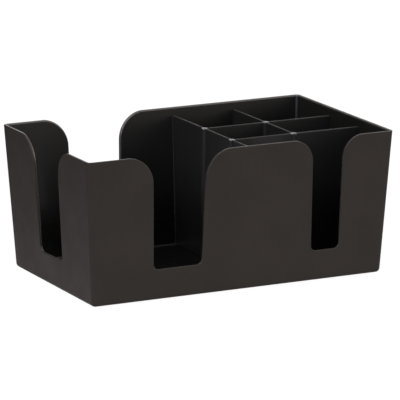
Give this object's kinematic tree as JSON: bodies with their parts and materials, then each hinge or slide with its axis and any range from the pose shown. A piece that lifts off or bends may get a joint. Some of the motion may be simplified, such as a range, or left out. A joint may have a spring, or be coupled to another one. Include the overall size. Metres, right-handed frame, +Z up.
{
  "type": "bar caddy",
  "caption": "Bar-top caddy: drafted tub with finger slots and a lift-out divider grid, for napkins, coasters, straws and picks.",
  "frame": {"origin": "on the surface the caddy stands on, under the middle of its rim", "axes": "+X along the length, from the napkin bay towards the small bays; +Y from the front wall towards the back; +Z up"},
  "size_m": [0.2414, 0.146, 0.1056],
  "materials": {
    "tub_plastic": "fine matte grain outside, polished inside",
    "divider_plastic": "polished",
    "pad_rubber": "dull"
  },
  "bodies": {
    "tub": {"caddy_tub": "tub_plastic", "pad_front_left": "pad_rubber", "pad_front_right": "pad_rubber", "pad_rear_left": "pad_rubber", "pad_rear_right": "pad_rubber"},
    "divider_insert": {"main_divider": "divider_plastic", "rear_cross_divider": "divider_plastic", "front_cross_divider": "divider_plastic", "short_divider": "divider_plastic"}
  },
  "joints": [
    {"name": "divider_lift", "type": "slide", "parent": "tub", "child": "divider_insert", "axis": [0, 0, 1], "range_m": [0, 0.11]}
  ]
}
